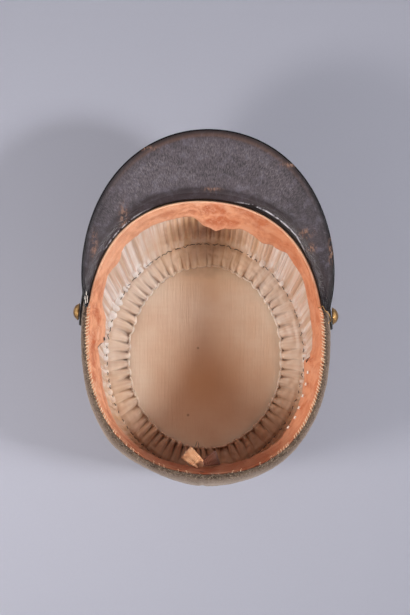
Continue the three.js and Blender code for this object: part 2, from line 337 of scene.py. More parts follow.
def thicken(piece, thickness, offset):
    """Gives a sheet its thickness, to one side of it or to both."""
    solid = piece.modifiers.new("thickness", "SOLIDIFY")
    solid.thickness = thickness
    solid.offset = offset
    solid.use_even_offset = False


def lay_tube(vertices, faces, path, radius, sides):
    """Adds a closed thread along a path to lists of vertices and faces."""
    start = len(vertices)
    count = len(path)
    normal = None
    for index, point in enumerate(path):
        ahead = path[min(index + 1, count - 1)] - path[max(index - 1, 0)]
        ahead.normalize()
        normal = ahead.orthogonal() if normal is None else normal - ahead * normal.dot(ahead)
        normal.normalize()
        binormal = ahead.cross(normal)
        for side in range(sides):
            turn = 2 * math.pi * side / sides
            vertices.append(point + (normal * math.cos(turn) + binormal * math.sin(turn)) * radius)
    for index in range(count - 1):
        for side in range(sides):
            beside = (side + 1) % sides
            a = start + index * sides
            faces.append((a + side, a + beside, a + sides + beside, a + sides + side))
    last = start + (count - 1) * sides
    faces.append(tuple(start + side for side in reversed(range(sides))))
    faces.append(tuple(last + side for side in range(sides)))


def finish_piece(piece, material, nodes=()):
    """Gives a piece its material, lets it ride on the root and hides the frame's nodes that it replaces."""
    piece.data.materials.append(material)
    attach(piece, "root")
    if nodes:
        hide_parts(*nodes)


def threads(name, paths, radius, material, sides=6):
    """All threads of one kind, each along its path, as one piece."""
    vertices, faces = [], []
    for path in paths:
        lay_tube(vertices, faces, path, radius, sides)
    mesh = bpy.data.meshes.new(name)
    mesh.from_pydata([tuple(vertex) for vertex in vertices], [], faces)
    mesh.shade_smooth()
    finish_piece(new_object(name, mesh), material)


# Materials

def srgb(red, green, blue):
    """A colour given as it looks on screen, 0 to 255, as the linear value that a shader takes."""
    def linear(value):
        share = value / 255.0
        return share / 12.92 if share <= 0.04045 else ((share + 0.055) / 1.055) ** 2.4
    return (linear(red), linear(green), linear(blue), 1.0)


class Surface:
    """A material built up from procedural nodes."""

    def __init__(self, name, **sockets):
        self.material = bpy.data.materials.new(name)
        self.material.use_nodes = True
        self.nodes = self.material.node_tree.nodes
        self.links = self.material.node_tree.links
        self.shader = self.nodes["Principled BSDF"]
        for socket, value in sockets.items():
            self.shader.inputs[socket.replace("_", " ")].default_value = value

    def node(self, kind, inputs=None, **settings):
        """A node with its settings, each input linked to a socket or set to a value."""
        made = self.nodes.new(kind)
        for key, value in settings.items():
            setattr(made, key, value)
        for socket, value in (inputs or {}).items():
            if isinstance(value, bpy.types.NodeSocket):
                self.links.new(value, made.inputs[socket])
            elif value is not None:
                made.inputs[socket].default_value = value
        return made

    def place(self):
        """Where a point is in the cap, in metres."""
        return self.node("ShaderNodeTexCoord").outputs["Object"]

    def cloth(self):
        """Where a point is on its flat material, in metres. Its Z is a mark that each piece gives."""
        return self.node("ShaderNodeAttribute", attribute_name="cloth").outputs["Vector"]

    def wear(self):
        """How rubbed a point is, 0 to 1."""
        return self.node("ShaderNodeAttribute", attribute_name="wear").outputs["Fac"]

    def stretch(self, vector, scale):
        return self.node("ShaderNodeMapping", {"Vector": vector, "Scale": scale}).outputs["Vector"]

    def axis(self, vector, name):
        return self.node("ShaderNodeSeparateXYZ", {"Vector": vector}).outputs[name]

    def noise(self, vector, scale, detail=2.0, roughness=0.5, distortion=0.0):
        inputs = {
            "Vector": vector,
            "Scale": scale,
            "Detail": detail,
            "Roughness": roughness,
            "Distortion": distortion,
        }
        return self.node("ShaderNodeTexNoise", inputs).outputs["Fac"]

    def cells(self, vector, scale):
        """The distance to the middle of the nearest of many small cells."""
        return self.node("ShaderNodeTexVoronoi", {"Vector": vector, "Scale": scale}).outputs["Distance"]

    def math(self, operation, first, second=0.0, third=0.0):
        inputs = {0: first, 1: second, 2: third}
        return self.node("ShaderNodeMath", inputs, operation=operation).outputs[0]

    def times(self, product, *others):
        """The product of several values."""
        for other in others:
            product = self.math("MULTIPLY", product, other)
        return product

    def remap(self, value, low, high, to_low=0.0, to_high=1.0):
        """A value's way from low to high, as a way from to_low to to_high, held at both ends."""
        inputs = {0: value, 1: low, 2: high, 3: to_low, 4: to_high}
        return self.node("ShaderNodeMapRange", inputs).outputs[0]

    def mix(self, share, first, second):
        inputs = {0: share, 6: first, 7: second}
        return self.node("ShaderNodeMix", inputs, data_type="RGBA").outputs[2]

    def tint(self, base, colour, value, low, high, most=1.0):
        """The base with a colour mixed in, from none of it to the most as a value goes from low to high."""
        return self.mix(self.remap(value, low, high, 0.0, most), base, colour)

    def ridges(self, value, spacing):
        """Waves along a length, one every spacing, between 0 and 1."""
        wave = self.math("SINE", self.math("MULTIPLY", value, 2 * math.pi / spacing))
        return self.math("MULTIPLY_ADD", wave, 0.5, 0.5)

    def distance(self, point):
        """How far away a point of the cap is, in metres."""
        inputs = {0: self.place(), 1: point}
        return self.node("ShaderNodeVectorMath", inputs, operation="DISTANCE").outputs["Value"]

    def ragged_distance(self, point, scale):
        """How far away a point of the cap is, in metres, put off by noise of a scale."""
        rag = self.noise(self.place(), scale, 3.0)
        return self.math("MULTIPLY_ADD", rag, 0.02, self.distance(point))

    def spots(self, points, radius):
        """How near any of some points of the cap is: 1 at one, 0 from that radius on."""
        nearest = self.distance(points[0])
        for point in points[1:]:
            nearest = self.math("MINIMUM", nearest, self.distance(point))
        return self.remap(nearest, radius, 0.6 * radius)

    def colour(self, socket):
        self.links.new(socket, self.shader.inputs["Base Color"])

    def roughness(self, socket):
        self.links.new(socket, self.shader.inputs["Roughness"])

    def bump(self, *heights):
        """Stacks bumps, each a pair of a height socket and its depth in metres."""
        normal = None
        for height, depth in heights:
            inputs = {"Height": height, "Distance": depth, "Strength": 1.0, "Normal": normal}
            normal = self.node("ShaderNodeBump", inputs).outputs["Normal"]
        self.links.new(normal, self.shader.inputs["Normal"])


# The brow's stain on the silks in front, partly stain and partly painted shade, the painted warm shade in
# the middle of the flat silk, and two specks on it
BROW_STAIN_AND_SHADE_PLACE = (0.0, 0.087, 0.026)
BROW_STAIN_AND_SHADE_STRENGTH = 0.9
TIP_SHADE_PLACE = (0.002, -0.018, 0.004)
TIP_SPOTS = ((-0.0055, 0.0067, 0.0045), (-0.0122, -0.0445, 0.0045))
TIP_SPOT_RADIUS = 0.0013
FOLD_STAIN_AND_SHADE = 0.66
SILK_THREAD = 0.001
SILK_FOLD_STAIN_AND_SHADE = srgb(112, 62, 34)
SILK_GOLD = srgb(232, 188, 140)


def silk(name, pale, deep, streaks, age_and_shade, middle=0.0):
    """Plain woven silk: a soft sheen, faint bars, slubs and streaks, painted shade in its folds, painted
    highlights on its puckered and drawn edges, and old stains with painted shade mixed in.

    streaks is how strong the tan streaks are. The next argument is how strong the browning at the back is,
    which is partly stain and partly painted shade, along with painted shade at the right. middle is how
    strong the painted warm shade in the middle of the flat silk is. Each runs from 0 to 1. The cloth's mark
    is 0 in a fold, where shade is painted, 1 on it, and more on an edge, where a highlight is painted."""
    made = Surface(name, Roughness=0.45, Specular_IOR_Level=0.2, Sheen_Weight=0.03, Sheen_Roughness=0.4)
    place, cloth = made.place(), made.cloth()
    x, y, fold = made.axis(place, "X"), made.axis(place, "Y"), made.axis(cloth, "Z")
    bars = made.noise(made.stretch(cloth, (18.0, 330.0, 1.0)), 1.0, 2.0)
    slubs = made.noise(made.stretch(cloth, (1500.0, 120.0, 1.0)), 1.0, 2.0)
    tints = made.noise(made.stretch(cloth, (640.0, 14.0, 1.0)), 1.0, 3.0, 0.6)
    broad = made.noise(made.stretch(cloth, (210.0, 9.0, 1.0)), 1.0, 2.0, 0.5)
    tone = made.tint(pale, deep, made.noise(place, 30.0, 4.0, 0.6), 0.36, 0.66, 0.7)
    tone = made.tint(tone, deep, bars, 0.42, 0.7, 0.16)
    tone = made.tint(tone, srgb(202, 168, 134), broad, 0.44, 0.62, streaks)
    tone = made.tint(tone, srgb(226, 188, 168), tints, 0.42, 0.68, 0.8 * streaks)
    tone = made.tint(tone, deep, slubs, 0.45, 0.75, 0.12)
    # Painted shade in the folds, where the cloth's mark is low, partly brown staining in their valleys.
    tone = made.tint(tone, SILK_FOLD_STAIN_AND_SHADE, fold, 0.6, 0.0, FOLD_STAIN_AND_SHADE)
    # Painted highlight: paler where the cloth's mark is above 1.2, on the puckers and the drawn edge.
    tone = made.tint(tone, pale, fold, 1.2, 1.5, 0.8)
    # The brow's stain in front: partly real stain, partly painted shade where the front wall shuts out both
    # lamps.
    brow_stain_and_shade = made.ragged_distance(BROW_STAIN_AND_SHADE_PLACE, 70.0)
    tone = made.tint(tone, SILK_GOLD, brow_stain_and_shade, 0.064, 0.036, 0.65)
    # Painted shade, partly stain: the silk browns towards the back, where the back wall shuts out the
    # lamps.
    tone = made.tint(tone, SILK_GOLD, y, 0.0, -0.045, 0.9 * age_and_shade)
    tone = made.tint(tone, srgb(104, 52, 24), brow_stain_and_shade, 0.045, 0.017, BROW_STAIN_AND_SHADE_STRENGTH)
    # Painted shade: the middle and back of the flat silk, shut off from both lamps, warmed and darkened;
    # then two specks.
    if middle:
        middle_shade = made.ragged_distance(TIP_SHADE_PLACE, 40.0)
        tone = made.tint(tone, srgb(228, 180, 138), middle_shade, 0.062, 0.016, middle)
        specks = made.times(made.spots(TIP_SPOTS, TIP_SPOT_RADIUS), 0.45)
        tone = made.mix(specks, tone, srgb(130, 80, 54))
    # Painted shade, partly stain: darker brown towards the back, a little more at the right, and darker
    # towards the right side.
    askew = made.math("MULTIPLY_ADD", x, -0.15, y)
    tone = made.tint(tone, srgb(140, 72, 36), askew, -0.026, -0.066, age_and_shade)
    made.colour(made.tint(tone, srgb(206, 150, 104), x, 0.0, 0.08, 0.3 * age_and_shade))
    weft = made.ridges(made.axis(cloth, "Y"), SILK_THREAD)
    warp = made.ridges(made.axis(cloth, "X"), SILK_THREAD)
    made.bump((weft, 0.000015), (warp, 0.000015), (slubs, 0.0002), (tints, 0.0003))
    return made.material


def wool_cloth():
    """Grey-brown felted wool, flecked, darkest along its worn rim, where the cloth's mark is 1."""
    made = Surface("felted_wool", Roughness=0.95, Sheen_Weight=0.12, Sheen_Roughness=0.6)
    place = made.place()
    fleck = made.noise(place, 1500.0, 3.0, 0.7)
    nap = made.noise(place, 620.0, 4.0, 0.65, 0.6)
    tone = made.tint(srgb(140, 121, 104), srgb(168, 147, 130), made.noise(place, 55.0, 3.0, 0.6), 0.3, 0.7)
    tone = made.tint(tone, srgb(86, 58, 36), made.axis(made.cloth(), "Z"), 0.3, 1.0, 0.8)
    tone = made.tint(tone, srgb(190, 170, 152), fleck, 0.48, 0.75, 0.6)
    made.colour(made.tint(tone, srgb(72, 58, 48), nap, 0.5, 0.3, 0.5))
    made.bump((nap, 0.0009), (fleck, 0.0004))
    return made.material


def peak_leather():
    """Dark grained leather: a grey bloom in short streaks, brown scuffs, a glossy bend with a painted
    highlight line and painted shadow at its root, a painted edge.

    The cloth's X runs along the rim from the left corner, Y is the distance from the rim, and its
    mark the distance from the outer edge."""
    made = Surface("peak_leather", Specular_IOR_Level=0.32)
    place, cloth = made.place(), made.cloth()
    arc, from_rim, from_edge = (made.axis(cloth, name) for name in "XYZ")
    forward = made.axis(place, "Y")
    streak = made.noise(made.stretch(cloth, (1500.0, 430.0, 1.0)), 1.0, 4.0, 0.7, 0.5)
    cloud = made.noise(place, 42.0, 3.0, 0.55)
    mottle = made.noise(place, 150.0, 5.0, 0.72, 0.4)
    tone = made.tint(srgb(50, 42, 46), srgb(68, 59, 64), cloud, 0.35, 0.7)
    tone = made.tint(tone, srgb(104, 98, 109), mottle, 0.50, 0.64, 0.6)
    tone = made.tint(tone, srgb(34, 28, 36), mottle, 0.46, 0.32, 0.6)

    bloom = made.times(
        made.remap(forward, 0.085, 0.135, 0.25, 1.0),
        made.remap(from_rim, 0.007, 0.012),
        made.remap(from_edge, 0.004, 0.012, 0.35, 1.0),
        made.remap(made.noise(place, 26.0, 2.0, 0.5), 0.3, 0.6, 0.45, 1.0),
    )
    tone = made.mix(made.times(bloom, 0.15), tone, srgb(112, 104, 112))
    streaked = made.times(bloom, made.remap(streak, 0.42, 0.66, 0.0, 0.6))
    tone = made.mix(streaked, tone, srgb(148, 136, 139))
    tone = made.tint(tone, srgb(50, 36, 36), from_rim, 0.0095, 0.0070, 0.55)

    # Painted highlight: a broken pale line along the bend near the root, at the left and the right, mixed
    # into the colour.
    right = made.times(made.remap(arc, 0.150, 0.165), made.remap(arc, 0.222, 0.205))
    left = made.times(made.remap(arc, 0.036, 0.048), made.remap(arc, 0.086, 0.070, 0.0, 0.7))
    root = made.math("SUBTRACT", from_rim, made.remap(right, 0.0, 1.0, 0.0010, 0.0029))
    line = made.times(made.remap(root, -0.0008, -0.0003), made.remap(root, 0.0006, 0.0001))
    broken = made.remap(made.noise(place, 240.0, 3.0, 0.7), 0.40, 0.56)
    glint = made.times(line, broken, made.math("MAXIMUM", left, right))
    # Painted shadow: near black in the gap at the peak's root, beside the sweatband.
    tone = made.tint(tone, srgb(14, 10, 11), root, 0.0003, -0.0006)
    corner = made.math("MAXIMUM", made.remap(arc, 0.016, 0.006), made.remap(arc, 0.244, 0.254))
    tone = made.mix(made.times(corner, 0.85), tone, srgb(22, 18, 22))

    ring = made.times(made.remap(from_edge, 0.0062, 0.0045, 0.0, 0.55), made.remap(forward, 0.11, 0.15))
    tone = made.mix(ring, tone, srgb(98, 66, 50))
    tone = made.tint(tone, srgb(26, 22, 26), from_edge, 0.0042, 0.0020, 0.75)
    tone = made.tint(tone, srgb(12, 11, 14), from_edge, 0.0013, 0.0007)

    anywhere = made.remap(made.noise(place, 150.0, 5.0, 0.8), 0.68, 0.78, 0.0, 0.5)
    scratch = made.noise(made.stretch(place, (1.0, 0.45, 1.0)), 620.0, 4.0, 0.7)
    rubbed = made.math("MAXIMUM", made.wear(), anywhere)
    scuff = made.times(rubbed, made.remap(scratch, 0.46, 0.58))
    tone = made.mix(scuff, tone, srgb(158, 118, 98))
    made.colour(made.mix(glint, tone, srgb(214, 208, 214)))
    shine = made.remap(from_rim, 0.0040, 0.0075, 0.16, 0.55)
    made.roughness(made.math("MINIMUM", shine, made.remap(from_edge, 0.0008, 0.0025, 0.2, 0.5)))
    grain = made.cells(place, 1000.0)
    made.bump((streak, 0.00022), (grain, 0.00018), (cloud, 0.0008), (scuff, -0.0002), (line, 0.0004))
    return made.material


# Angle, and share of the sweatband's width, of the dark slits and holes through it
BAND_HOLES = ((267.0, 0.95), (264.6, 0.96), (263.6, 0.98), (100.2, 0.96), (101.4, 0.86), (180.4, 0.10))
BAND_HOLE_RADIUS = 0.0019


def band_leather():
    """Worn tan sheepskin, orange in the body, peach on folds and edges, with dark slits and holes; with
    painted shade at the back and painted highlights on the front left and along the top edge in front.

    The cloth's mark goes from 0 at the rim to 1 at the free edge."""
    made = Surface("band_leather", Roughness=0.6, Specular_IOR_Level=0.12)
    place = made.place()
    x, y, down = made.axis(place, "X"), made.axis(place, "Y"), made.axis(made.cloth(), "Z")
    blotch = made.noise(place, 75.0, 4.0, 0.66, 0.5)
    crackle = made.noise(place, 300.0, 5.0, 0.7, 0.8)
    front = made.remap(y, 0.035, 0.075, 0.0, 0.9)
    tone = made.tint(srgb(202, 118, 82), srgb(242, 178, 140), blotch, 0.40, 0.60)
    tone = made.tint(tone, srgb(244, 196, 166), made.noise(place, 95.0, 3.0, 0.6), 0.52, 0.66, 0.5)
    tone = made.tint(tone, srgb(248, 204, 176), crackle, 0.54, 0.7, 0.6)
    tone = made.tint(tone, srgb(244, 192, 160), down, 0.74, 0.98, 0.5)
    # Paler on the front left: partly worn, partly a painted highlight.
    faded_and_lit = made.times(made.remap(x, 0.0, -0.06, 0.0, 0.55), front)
    tone = made.mix(faded_and_lit, tone, srgb(255, 200, 164))
    tone = made.tint(tone, srgb(208, 126, 84), x, -0.01, 0.05, 0.5)
    # Painted shade: the back of the band, which faces away from the lamps, is darkened to deep red-brown.
    tone = made.tint(tone, srgb(92, 32, 14), y, -0.040, -0.070, 0.75)
    # The pale line along the top edge in front: partly the pale cut edge, partly a painted highlight where
    # the roll faces up.
    edge = made.times(made.remap(down, 0.05, 0.02), front)
    tone = made.mix(edge, tone, srgb(252, 204, 170))
    holes = made.spots([sweatband_point(*hole) for hole in BAND_HOLES], BAND_HOLE_RADIUS)
    made.colour(made.mix(holes, tone, srgb(30, 12, 8)))
    made.roughness(made.remap(blotch, 0.3, 0.7, 0.5, 0.66))
    made.bump((crackle, 0.0005), (made.cells(place, 1300.0), 0.00015))
    return made.material


def black_leather():
    """Polished black leather, rubbed brown in places."""
    made = Surface("strap_leather", Roughness=0.32, Coat_Weight=0.4, Coat_Roughness=0.2)
    place = made.place()
    wear = made.noise(place, 240.0, 4.0, 0.7)
    made.colour(made.tint(srgb(24, 21, 20), srgb(70, 56, 48), wear, 0.55, 0.75, 0.5))
    made.roughness(made.remap(wear, 0.3, 0.75, 0.25, 0.5))
    made.bump((made.cells(place, 1100.0), 0.00015), (wear, 0.0002))
    return made.material


def gilt_brass():
    """Gilt brass with patches of brown tarnish."""
    made = Surface("gilt_brass", Metallic=1.0)
    tarnish = made.noise(made.place(), 420.0, 4.0, 0.65)
    made.colour(made.tint(srgb(196, 154, 98), srgb(92, 62, 38), tarnish, 0.42, 0.66, 0.85))
    made.roughness(made.remap(tarnish, 0.3, 0.75, 0.22, 0.5))
    made.bump((tarnish, 0.0001))
    return made.material


RIBBON_RIB = 0.00085


def ribbon_silk():
    """Ribbed orange-peach ribbon, with painted shade: browner where the cloth's mark says, on the loop and
    the knot that lie in the shade.
    """
    made = Surface("ribbon_silk", Roughness=0.6, Sheen_Weight=0.2)
    cloth = made.cloth()
    rib = made.ridges(made.axis(cloth, "X"), RIBBON_RIB)
    shade = made.noise(made.place(), 300.0, 3.0)
    tone = made.tint(srgb(252, 200, 152), srgb(236, 162, 112), shade, 0.3, 0.7)
    tone = made.tint(tone, srgb(186, 112, 66), rib, 0.5, 0.0, 0.45)
    # Painted shade: the cloth's mark darkens the shaded loop and the knot.
    made.colour(made.mix(made.axis(cloth, "Z"), tone, srgb(118, 62, 36)))
    made.bump((rib, 0.0003))
    return made.material


def thread(name, light, dark):
    """Twisted thread in two shades."""
    made = Surface(name, Roughness=0.7)
    twist = made.noise(made.place(), 1600.0, 2.0)
    made.colour(made.tint(light, dark, twist, 0.3, 0.7))
    made.bump((twist, 0.0001))
    return made.material


# Crown and wall

CROWN_CORNER = 0.0032

# Insets from the crown's outline of the points along its inner face, in metres
CROWN_INNER_INSETS = (0.02, 0.0809)


def crown_cloth(material):
    """The crown's disc, flat where it rests, its corner rounded, lapped inward under the lining."""
    profile = [(lerp(CROWN_HALF_WIDTH, CROWN_CORNER, share), 0.0) for share in (0, 0.3, 0.6, 0.85, 1)]
    for index in range(1, 9):
        turn = 0.5 * math.pi * index / 8
        profile.append((CROWN_CORNER * (1 - math.sin(turn)), CROWN_THICKNESS * (1 - math.cos(turn))))
    profile += [(inset, CROWN_THICKNESS) for inset in CROWN_INNER_INSETS]
    points = [[(*on_outline(CROWN, angle, -inset), z) for inset, z in profile] for angle in turns(240)]
    piece = sheet("crown_cloth", points, ring=True)
    turn_outwards(piece)
    finish_piece(piece, material, ["crown_top"])


# Share across the wool's cut edge, and how much of the edge's roundness stands there
RIM_ROUND = ((0.12, 0.4), (0.35, 0.8), (0.6, 0.8), (0.88, 0.4))
RIM_RISE = 0.0006

# How uneven the wool and its cut edge are, and how deep its seam at the back is, in metres, and the
# seam's half width in degrees
WOOL_UNEVENNESS = 0.0003
WOOL_EDGE_UNEVENNESS = 0.0005
WOOL_SEAM_DEPTH = 0.0006
WOOL_SEAM_HALF_ANGLE = 0.9


def shell_cloth(material):
    """The wool wall: outside, over the rounded rim and down the inside, with a seam at the back."""
    columns = 900
    outside = [index / 30 for index in range(29)] + [0.96, 0.985]
    inside = [0.985, 0.95, 0.88, 0.75, 0.6, 0.45, 0.28, 0.12, 0.0]
    marks = [smooth((share - 0.9) / 0.1) for share in outside] + [1.0] * (len(RIM_ROUND) + len(inside))
    points = []
    for angle in turns(columns):
        seam = WOOL_SEAM_DEPTH * bell(angle - 180.0, WOOL_SEAM_HALF_ANGLE)
        row = []
        for share in outside:
            dent = seam + WOOL_UNEVENNESS * round_ripple(angle, 40, 3.0, share * 6)
            dent += WOOL_UNEVENNESS * round_ripple(angle, 300, 6.0, share * 60)
            row.append(on_wall(angle, share, dent))
        for across, up in RIM_ROUND:
            lift = RIM_RISE * up + WOOL_EDGE_UNEVENNESS * round_ripple(angle, 230, 9.0, across * 3)
            row.append(on_wall(angle, 1.0, WALL_THICKNESS * across) + Vector((0, 0, lift)))
        row.extend(on_wall(angle, share, WALL_THICKNESS) for share in inside)
        points.append(row)
    girth = 2 * math.pi * RIM_HALF_LENGTH
    cloth = lambda r, c: (girth * r / columns, RIM_BACK_HEIGHT * c / len(marks), marks[c % len(marks)])
    piece = sheet("shell_cloth", points, cloth, ring=True, loop=True)
    turn_outwards(piece)
    finish_piece(piece, material, ["side_wall"])


# Silk linings

SILK_THICKNESS = 0.0003
TIP_SILK_THICKNESS = 0.0006
TIP_SILK_SLACK = 0.0005
TIP_SILK_OPEN_MIDDLE = 0.012


def tip_silk(material):
    """The flat silk inside the crown, slightly slack."""
    rings, columns = 40, 144
    edge_inset = WALL_THICKNESS + 2 * CLEARANCE
    points = []
    for angle in turns(columns):
        row = []
        for ring_index in range(rings + 1):
            share = lerp(TIP_SILK_OPEN_MIDDLE, 1.0, ring_index / rings)
            x, y = (reach * share for reach in on_outline(CROWN, angle, -edge_inset))
            slack = TIP_SILK_SLACK * ripple(x * 60, y * 60) * (1 - share ** 4)
            row.append(Vector((x, y, CROWN_LEVEL + TIP_THICKNESS * 0.8 + slack)))
        points.append(row)
    cloth = lambda r, c: (points[r % columns][c].x, points[r % columns][c].y, 1.0)
    piece = sheet("tip_silk", points, cloth, ring=True)
    close_middle(piece, [column * (rings + 1) for column in range(columns)])
    thicken(piece, TIP_SILK_THICKNESS, -1.0)
    finish_piece(piece, material, ["tip_lining"])


def phases(pitch_table, columns, radius, jitter, seed):
    """Running number of the fold at each column, for a whole number of folds round the cap."""
    step = 2 * math.pi * radius / columns
    total, values = 0.0, []
    for angle in turns(columns):
        values.append(total)
        total += step / around(pitch_table, angle) * (1 + jitter * round_ripple(angle, 70, seed))
    scale = round(total) / total
    return [value * scale for value in values]


def crest(phase, sharpness):
    """Rounded crests with narrow valleys between them, 0 to 1, one for each whole number."""
    return math.sin(math.pi * (phase % 1.0)) ** sharpness


# Angle, and the pleats' pitch there in metres
PLEAT_PITCH = (
    (0, 0.0046),
    (20, 0.0036),
    (60, 0.0036),
    (110, 0.0046),
    (250, 0.0046),
    (310, 0.0056),
    (345, 0.0062),
)

# Angle, and the pitch there of the puckers along the pleats' sewn foot, in metres
PUCKER_PITCH = ((0, 0.0052), (120, 0.0046), (200, 0.0056), (300, 0.0050))

# Angle, and how strong the puckers are there
PUCKER_STRENGTH = (
    (0, 0.1),
    (20, 0.5),
    (38, 1.3),
    (56, 0.8),
    (75, 0.2),
    (92, 1.3),
    (108, 0.2),
    (225, 0.2),
    (245, 0.9),
    (262, 0.5),
    (280, 1.4),
    (297, 1.3),
    (318, 0.9),
    (335, 0.2),
)

# Inset from the wall, height over the flat silk, and how much of both a pucker adds, in metres
PUCKER_SECTION = (
    (0.0020, 0.0018, 0.0020, 0.0006),
    (0.0022, 0.0034, 0.0032, 0.0016),
    (0.0016, 0.0044, 0.0026, 0.0030),
    (0.0008, 0.0050, 0.0012, 0.0018),
)
PLEATS_ABOVE_FOOT = 0.0056
PLEAT_LEAST_DEPTH = 0.0004
PLEAT_DEPTH = 0.0012
PLEAT_DEPTH_AT_LEFT = 0.0006
SIDE_SILK_SAG = 0.0005

# Radii in metres at which the folds are counted and the cloth's length is measured, and its depth
PLEAT_RADIUS = 0.084
PUCKER_RADIUS = 0.087
SIDE_SILK_RADIUS = 0.088
SIDE_SILK_DEPTH = 0.08


def side_silk(material):
    """The pleated silk wall, from the crown's corner, where it is turned in, to behind the sweatband."""
    columns, rows = 1800, 13
    pleats = phases(PLEAT_PITCH, columns, PLEAT_RADIUS, jitter=0.9, seed=5.0)
    puckers = phases(PUCKER_PITCH, columns, PUCKER_RADIUS, jitter=0.8, seed=15.0)
    outer_inset = WALL_THICKNESS + CLEARANCE + SILK_THICKNESS
    points, folds = [], []
    for angle, pleat, pucker in zip(turns(columns), pleats, puckers):
        number = math.floor(pleat)
        within = pleat - number
        left = smooth(math.cos(math.radians(angle + 40.0)))
        strength = smooth(0.5 + 0.9 * ripple(number * 7.3, 1.7))
        depth = PLEAT_LEAST_DEPTH + (PLEAT_DEPTH + PLEAT_DEPTH_AT_LEFT * left) * strength
        lean = 0.42 + 0.3 * ripple(number * 3.1, 9.2)
        fold = smooth(within / lean if within < lean else (1 - within) / (1 - lean))
        sway = 0.8 * ripple(number * 1.3, 4.0)
        cluster = around(PUCKER_STRENGTH, angle) * smooth(0.75 + 1.2 * round_ripple(angle, 30, 23.0))
        puff = crest(pucker, 0.7) * cluster * (0.7 + 0.9 * ripple(math.floor(pucker) * 4.7))
        top = rim_height(angle) - LINING_TOP_BELOW_RIM
        row, marks = [], []
        for inset, height, swell, lift in PUCKER_SECTION:
            x, y = on_outline(CROWN, angle, CLEARANCE - outer_inset - inset - swell * puff)
            row.append(Vector((x, y, LINING_FOOT + height + lift * puff)))
            # The mark rises with a pucker, which paints a highlight on big puckers and a little shade
            # between them.
            marks.append(0.5 + 2.3 * puff)
        for index in range(rows + 1):
            share = index / rows
            z = lerp(LINING_FOOT + PLEATS_ABOVE_FOOT, top, share)
            open_fold = depth * (0.75 + 0.25 * share) * fold
            sag = SIDE_SILK_SAG * ripple(pleat * 0.7, share * 5, 4.0)
            row.append(wall_at_height(angle + sway * share, z, outer_inset + open_fold + sag))
            # The mark falls in a pleat's fold, which paints shade there, more on the strong pleats.
            marks.append(lerp(1.0, fold, 0.15 + 0.6 * strength))
        points.append(row)
        folds.append(marks)
    girth = 2 * math.pi * SIDE_SILK_RADIUS
    cloth = lambda r, c: (girth * r / columns, SIDE_SILK_DEPTH * c / len(points[0]), folds[r % columns][c])
    piece = sheet("side_silk", points, cloth, ring=True)
    thicken(piece, SILK_THICKNESS, 1.0)
    finish_piece(piece, material, ["side_lining"])


RUFFLE_WIDTH = 0.0190
RUFFLE_RADIUS = 0.09
GATHER_RADIUS = 0.074
RUFFLE_OUTER_INSET = WALL_THICKNESS + 2 * CLEARANCE + 0.0008

# Share across the ruffle, its height over the flat silk, and how deep its gathers are, in metres
RUFFLE_CREST = (
    (0.0, 0.0008),
    (0.07, 0.0026),
    (0.25, 0.0040),
    (0.6, 0.0046),
    (0.85, 0.0042),
    (0.93, 0.0036),
    (0.965, 0.0046),
    (1.0, 0.0026),
)
RUFFLE_FOLD = (
    (0.0, 0.0005),
    (0.3, 0.0008),
    (0.6, 0.0018),
    (0.85, 0.0032),
    (0.93, 0.0032),
    (0.96, 0.0012),
    (1.0, 0.0010),
)

# Angle, the gathers' pitch there in metres, and how much deeper they are there
RUFFLE_PITCH = ((0, 0.0074), (60, 0.0078), (130, 0.0070), (180, 0.0060), (230, 0.0070), (300, 0.0072))
RUFFLE_DEPTH = (
    (0, 0.7),
    (60, 0.9),
    (95, 1.5),
    (150, 2.1),
    (180, 2.0),
    (215, 2.6),
    (245, 2.6),
    (275, 2.3),
    (300, 1.3),
    (330, 0.9),
)


def ruffle_silk(material):
    """Silk gathered on a drawstring at its inner edge and sewn down along the crown's corner."""
    columns, rows = 1500, 28
    gathers = phases(RUFFLE_PITCH, columns, GATHER_RADIUS, jitter=0.8, seed=11.0)
    points, folds = [], []
    for angle, gather in zip(turns(columns), gathers):
        row, marks = [], []
        for index in range(rows + 1):
            share = index / rows
            path = gather + 0.32 * ripple(gather * 0.45, share * 1.5, 3.0) * share
            strength = 0.75 + 0.75 * ripple(math.floor(path) * 5.7, 2.2)
            fold = strength * crest(path, 0.75)
            inner = share ** 4 * crest(path * 2.6 + 0.3 * ripple(path, 8.0), 0.6)
            outer = (1 - share) ** 5 * crest(path * 1.8, 0.8)
            depth = along(RUFFLE_FOLD, share) * around(RUFFLE_DEPTH, angle)
            rise = depth * (fold - 0.7 + 0.3 * (inner - 0.5 * share ** 4))
            rise += 0.0009 * (outer - 0.5 * (1 - share) ** 5)
            crumple = 0.0005 * ripple(path * 1.7, share * 7, 7.0)
            wander = 0.0010 * ripple(path * 0.9, 3.0) * share + 0.0016 * (fold - 0.5) * share ** 3
            x, y = on_outline(CROWN, angle, -(RUFFLE_OUTER_INSET + RUFFLE_WIDTH * share + wander))
            z = LINING_FOOT + along(RUFFLE_CREST, share) + rise + crumple
            row.append(Vector((x, y, max(z, LINING_FOOT + 0.0002))))
            # The casing's mark of 1.6 paints a highlight along the drawn edge.
            casing = smooth((share - 0.925) / 0.03)
            # The mark is low in the gathers' valleys towards the drawn edge, which paints shade there.
            open_fold = min(1.0, 0.75 * (1 - share) + strength * crest(path, 1.8) + 0.02)
            marks.append(lerp(open_fold, 1.6, casing))
        points.append(row)
        folds.append(marks)
    girth = 2 * math.pi * RUFFLE_RADIUS
    cloth = lambda r, c: (girth * r / columns, RUFFLE_WIDTH * c / rows, folds[r % columns][c])
    piece = sheet("ruffle_silk", points, cloth, ring=True)
    thicken(piece, SILK_THICKNESS, -1.0)
    finish_piece(piece, material, ["ruffle"])


# Sweatband

BAND_THICKNESS = 0.0011
BAND_RADIUS = 0.09
BAND_WAVES = 0.0010
BAND_CREASES = 0.0006


